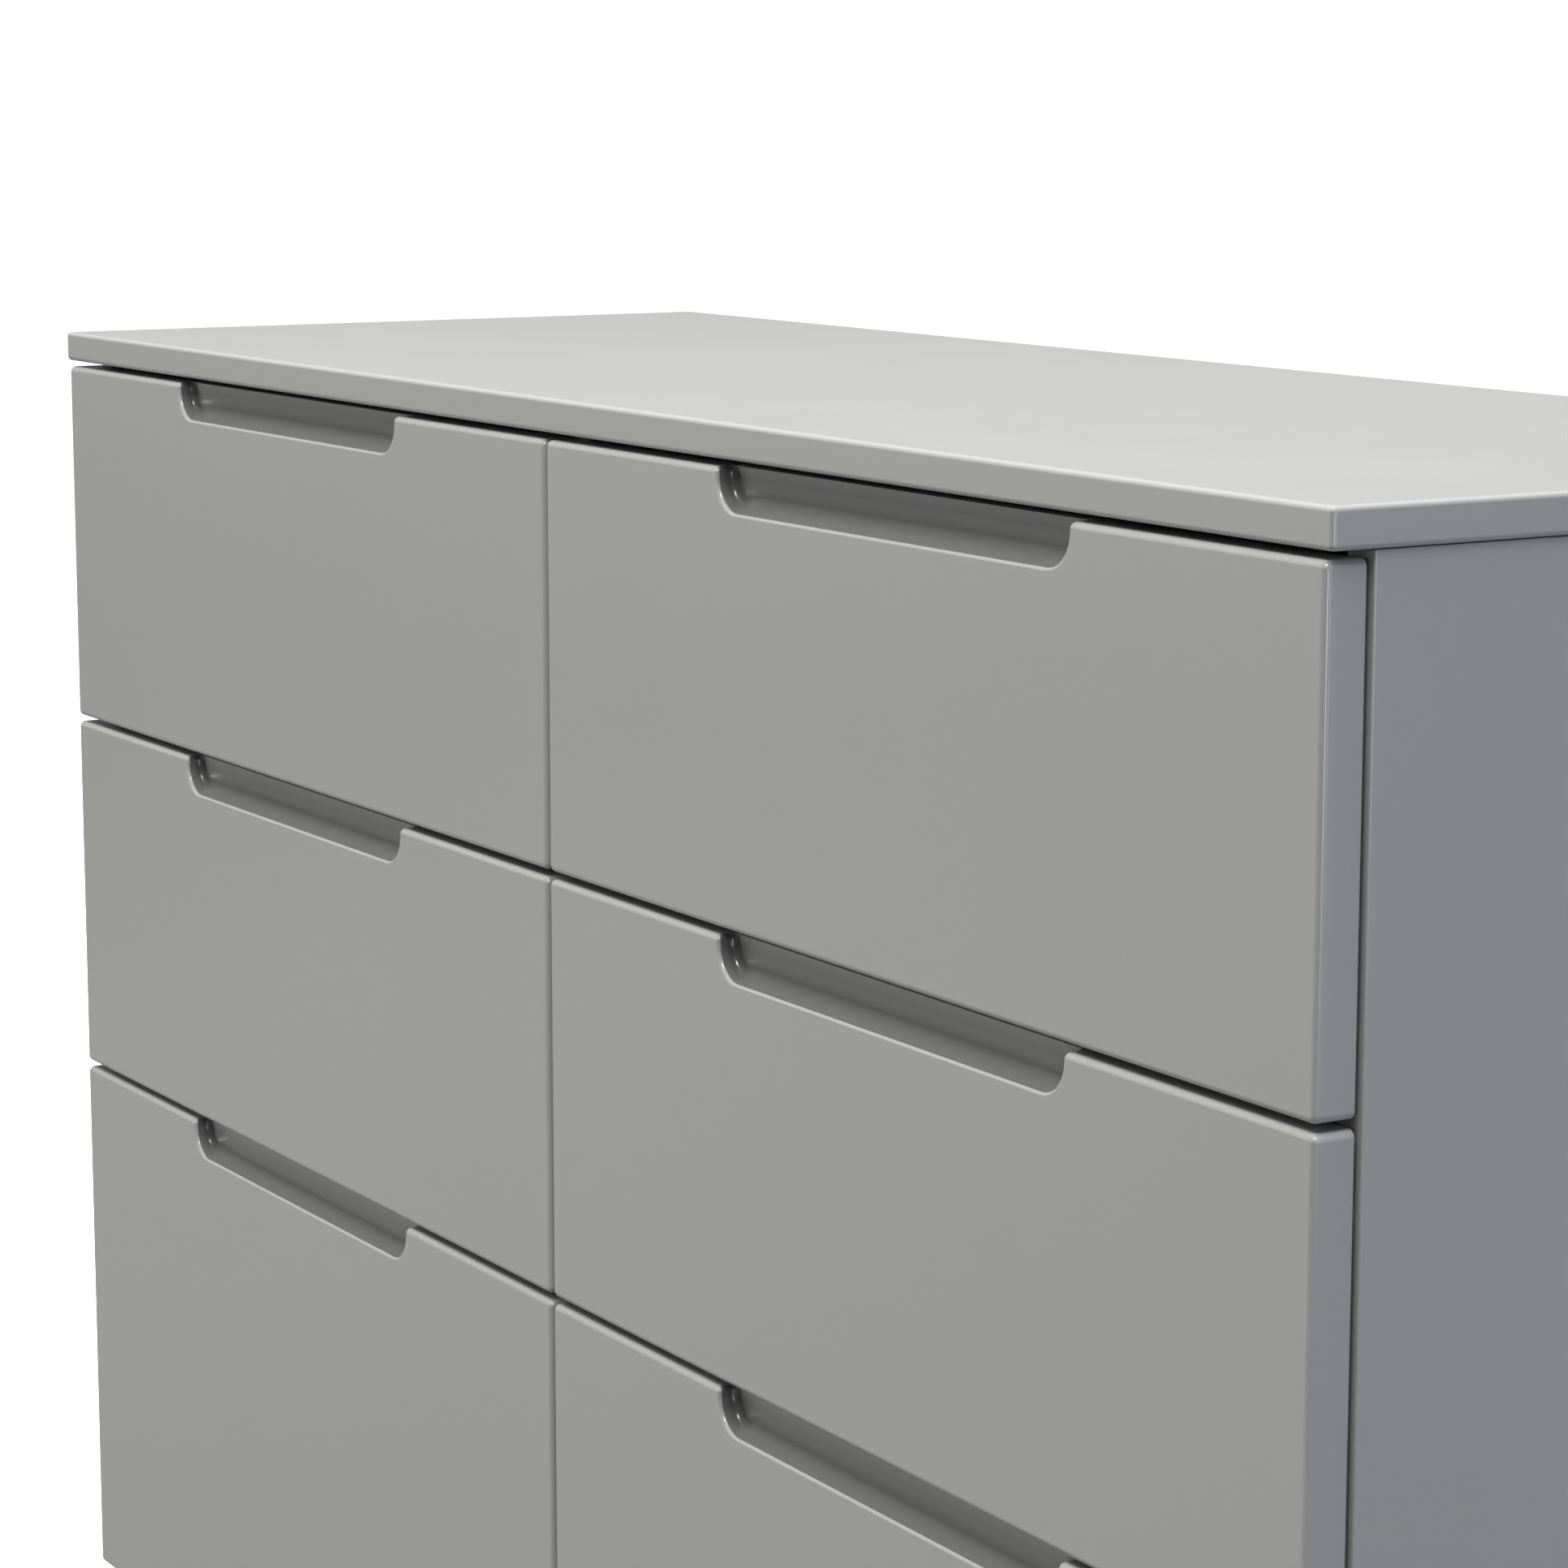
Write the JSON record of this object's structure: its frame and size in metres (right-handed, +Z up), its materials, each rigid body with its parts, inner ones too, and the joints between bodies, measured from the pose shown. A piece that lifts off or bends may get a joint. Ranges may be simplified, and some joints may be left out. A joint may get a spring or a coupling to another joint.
{
  "type": "dresser with drawers",
  "caption": "Free-standing storage chest: overlaid drawer fronts in two columns with finger pulls scooped into their top edges, thin top, side panels to the floor and a set-back plinth.",
  "frame": {"origin": "on the floor, below the centre of the whole chest", "axes": "+X to the viewer's right when facing the drawers, +Y from the drawer fronts to the back, +Z up"},
  "size_m": [1.12, 0.3944, 0.795],
  "materials": {
    "grey_lacquer": "satin grey lacquer on fibreboard",
    "drawer_box_foil": "pale grey foil on particleboard",
    "hardboard_sheet": "painted hardboard",
    "runner_nylon": "moulded nylon",
    "glide_plastic": "moulded plastic"
  },
  "bodies": {
    "carcass": {"top_panel": "grey_lacquer", "side_panel_left": "grey_lacquer", "side_panel_right": "grey_lacquer", "centre_divider": "grey_lacquer", "bottom_panel": "grey_lacquer", "back_panel_left": "hardboard_sheet", "back_panel_right": "hardboard_sheet", "plinth_front": "grey_lacquer", "plinth_back": "grey_lacquer", "plinth_brace": "grey_lacquer", "floor_glide_left_front": "glide_plastic", "floor_glide_left_back": "glide_plastic", "floor_glide_centre_front": "glide_plastic", "floor_glide_centre_back": "glide_plastic", "floor_glide_right_front": "glide_plastic", "floor_glide_right_back": "glide_plastic", "runner_upper_left_left": "runner_nylon", "runner_upper_left_right": "runner_nylon", "runner_upper_right_left": "runner_nylon", "runner_upper_right_right": "runner_nylon", "runner_middle_left_left": "runner_nylon", "runner_middle_left_right": "runner_nylon", "runner_middle_right_left": "runner_nylon", "runner_middle_right_right": "runner_nylon", "runner_lower_left_left": "runner_nylon", "runner_lower_left_right": "runner_nylon", "runner_lower_right_left": "runner_nylon", "runner_lower_right_right": "runner_nylon"},
    "drawer_upper_left": {"drawer_upper_left_front": "grey_lacquer", "drawer_upper_left_side_left": "drawer_box_foil", "drawer_upper_left_side_right": "drawer_box_foil", "drawer_upper_left_back": "drawer_box_foil", "drawer_upper_left_bottom": "hardboard_sheet"},
    "drawer_upper_right": {"drawer_upper_right_front": "grey_lacquer", "drawer_upper_right_side_left": "drawer_box_foil", "drawer_upper_right_side_right": "drawer_box_foil", "drawer_upper_right_back": "drawer_box_foil", "drawer_upper_right_bottom": "hardboard_sheet"},
    "drawer_middle_left": {"drawer_middle_left_front": "grey_lacquer", "drawer_middle_left_side_left": "drawer_box_foil", "drawer_middle_left_side_right": "drawer_box_foil", "drawer_middle_left_back": "drawer_box_foil", "drawer_middle_left_bottom": "hardboard_sheet"},
    "drawer_middle_right": {"drawer_middle_right_front": "grey_lacquer", "drawer_middle_right_side_left": "drawer_box_foil", "drawer_middle_right_side_right": "drawer_box_foil", "drawer_middle_right_back": "drawer_box_foil", "drawer_middle_right_bottom": "hardboard_sheet"},
    "drawer_lower_left": {"drawer_lower_left_front": "grey_lacquer", "drawer_lower_left_side_left": "drawer_box_foil", "drawer_lower_left_side_right": "drawer_box_foil", "drawer_lower_left_back": "drawer_box_foil", "drawer_lower_left_bottom": "hardboard_sheet"},
    "drawer_lower_right": {"drawer_lower_right_front": "grey_lacquer", "drawer_lower_right_side_left": "drawer_box_foil", "drawer_lower_right_side_right": "drawer_box_foil", "drawer_lower_right_back": "drawer_box_foil", "drawer_lower_right_bottom": "hardboard_sheet"}
  },
  "joints": [
    {"name": "drawer_upper_left_slide", "type": "slide", "parent": "carcass", "child": "drawer_upper_left", "axis": [0, -1, 0], "range_m": [0, 0.26]},
    {"name": "drawer_upper_right_slide", "type": "slide", "parent": "carcass", "child": "drawer_upper_right", "axis": [0, -1, 0], "range_m": [0, 0.26]},
    {"name": "drawer_middle_left_slide", "type": "slide", "parent": "carcass", "child": "drawer_middle_left", "axis": [0, -1, 0], "range_m": [0, 0.26]},
    {"name": "drawer_middle_right_slide", "type": "slide", "parent": "carcass", "child": "drawer_middle_right", "axis": [0, -1, 0], "range_m": [0, 0.26]},
    {"name": "drawer_lower_left_slide", "type": "slide", "parent": "carcass", "child": "drawer_lower_left", "axis": [0, -1, 0], "range_m": [0, 0.26]},
    {"name": "drawer_lower_right_slide", "type": "slide", "parent": "carcass", "child": "drawer_lower_right", "axis": [0, -1, 0], "range_m": [0, 0.26]}
  ]
}
